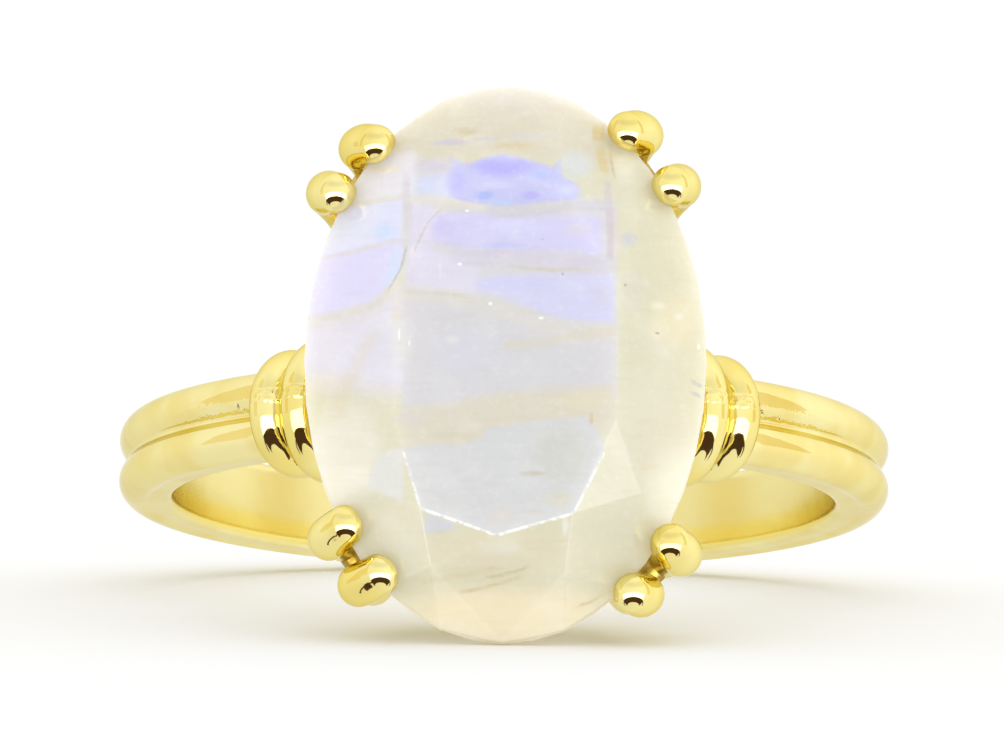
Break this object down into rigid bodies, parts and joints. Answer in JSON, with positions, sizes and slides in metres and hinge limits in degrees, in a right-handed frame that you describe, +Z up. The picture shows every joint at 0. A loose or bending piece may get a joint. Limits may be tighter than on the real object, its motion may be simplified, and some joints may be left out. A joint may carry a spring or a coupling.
{
  "type": "gemstone ring",
  "caption": "Finger ring lying on its side: an oval faceted moonstone held by pairs of claws over an open gallery, on a double-rib gold shank with round collars on its shoulders.",
  "frame": {"origin": "centre of the underside of the bounding box, on the surface that the ring lies on", "axes": "+X across the hand, to the right when the stone is looked at; +Y from the stone to the back of the shank; +Z up, 13.5 degrees off the axis of the finger hole"},
  "size_m": [0.0202, 0.0274, 0.0136],
  "materials": {
    "gold": "polished yellow gold plate over silver",
    "moonstone": "polished, milky and translucent with a blue-violet sheen"
  },
  "bodies": {
    "root": {"mount": "gold", "moonstone": "moonstone"}
  },
  "joints": []
}
